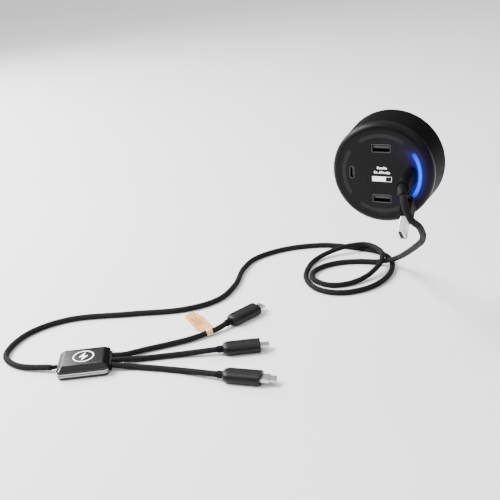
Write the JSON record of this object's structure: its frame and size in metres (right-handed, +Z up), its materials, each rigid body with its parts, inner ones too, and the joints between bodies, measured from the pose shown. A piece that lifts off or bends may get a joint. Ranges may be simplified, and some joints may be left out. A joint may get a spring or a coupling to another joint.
{
  "type": "wall-mounted phone charging hub with a charging cable",
  "caption": "Round wall-mounted charging hub for a shop counter with USB sockets, a small display and light arcs, and a plugged-in cable with a junction box and three phone connectors.",
  "frame": {"origin": "centre of the wall screw circle, on the plane of the wall that the hub is screwed to", "axes": "+Y into the wall, the face looks along -Y, +Z up, +X to the right for someone facing the hub"},
  "size_m": [0.3197, 0.2836, 0.1701],
  "materials": {
    "black_plastic": "fine-textured satin",
    "face_plastic": "satin",
    "gloss_black": "polished",
    "chrome_trim": "polished",
    "plug_metal": "plated",
    "socket_metal": "dark plated",
    "screw_steel": "zinc plated",
    "brass": "machined",
    "rubber_black": "moulded",
    "window_black": "polished",
    "display": "lit pixels",
    "lens_off": "translucent, unlit",
    "lens_lit": "translucent, lit blue",
    "board_green": "solder mask",
    "part_black": "moulded",
    "part_white": "moulded",
    "braid": "braided sleeve",
    "emblem_white": "printed, lit",
    "tag_card": "smooth tan"
  },
  "bodies": {
    "hub": {"wall_gasket": "rubber_black", "threaded_inserts": "brass", "power_grommet": "rubber_black", "rear_housing": "black_plastic", "front_bezel": "black_plastic", "face_plate": "face_plastic", "led_lens_top": "lens_off", "led_lens_left": "lens_off", "led_lens_bottom": "lens_off", "led_lens_right": "lens_lit", "led_ring_board": "board_green", "status_leds": "part_white", "display_window": "window_black", "display_module": "display", "usb_a_shell_top": "socket_metal", "usb_a_shell_bottom": "socket_metal", "usb_a_tongue_top": "part_black", "usb_a_tongue_bottom": "part_black", "usb_c_shell_left": "socket_metal", "usb_c_shell_right": "socket_metal", "usb_c_tongue_left": "part_black", "usb_c_tongue_right": "part_black", "main_board": "board_green", "power_controller": "part_black", "inductors": "part_black", "capacitors": "part_black", "terminal_block": "board_green", "board_connectors": "part_black", "housing_screws": "screw_steel"},
    "cable": {"hub_plug_shell": "plug_metal", "hub_plug_body": "black_plastic", "hub_plug_neck": "rubber_black", "adaptor_strap": "rubber_black", "main_cord": "braid", "box_neck": "rubber_black", "box_bottom_cover": "gloss_black", "box_trim_band": "chrome_trim", "box_top_cover": "gloss_black", "box_emblem": "emblem_white", "box_led_board": "board_green", "lead_sleeve": "rubber_black", "lead_usb_c": "braid", "lead_lightning": "braid", "lead_micro_usb": "braid", "usb_c_housing": "black_plastic", "lightning_housing": "black_plastic", "micro_usb_housing": "black_plastic", "usb_c_neck": "rubber_black", "lightning_neck": "rubber_black", "micro_usb_neck": "rubber_black", "usb_c_tip": "plug_metal", "lightning_tip": "plug_metal", "micro_usb_tip": "plug_metal"},
    "adaptor": {"adaptor_body": "black_plastic", "adaptor_shell": "plug_metal", "adaptor_tongue": "part_white"},
    "tag": {"tag_label": "tag_card", "tag_band": "tag_card"}
  },
  "joints": [
    {"name": "plug_pull", "type": "slide", "parent": "hub", "child": "cable", "axis": [0, -1, 0], "range_m": [0, 0.012]},
    {"name": "adaptor_swing", "type": "hinge", "parent": "cable", "child": "adaptor", "pos_m": [0.0205, -0.047, -0.01], "axis": [-1, 0, 0], "range_deg": [0, 30]},
    {"name": "tag_flip", "type": "hinge", "parent": "cable", "child": "tag", "pos_m": [-0.1348, -0.0622, -0.1298], "axis": [0.5878, 0.809, 0], "range_deg": [0, 160]}
  ]
}
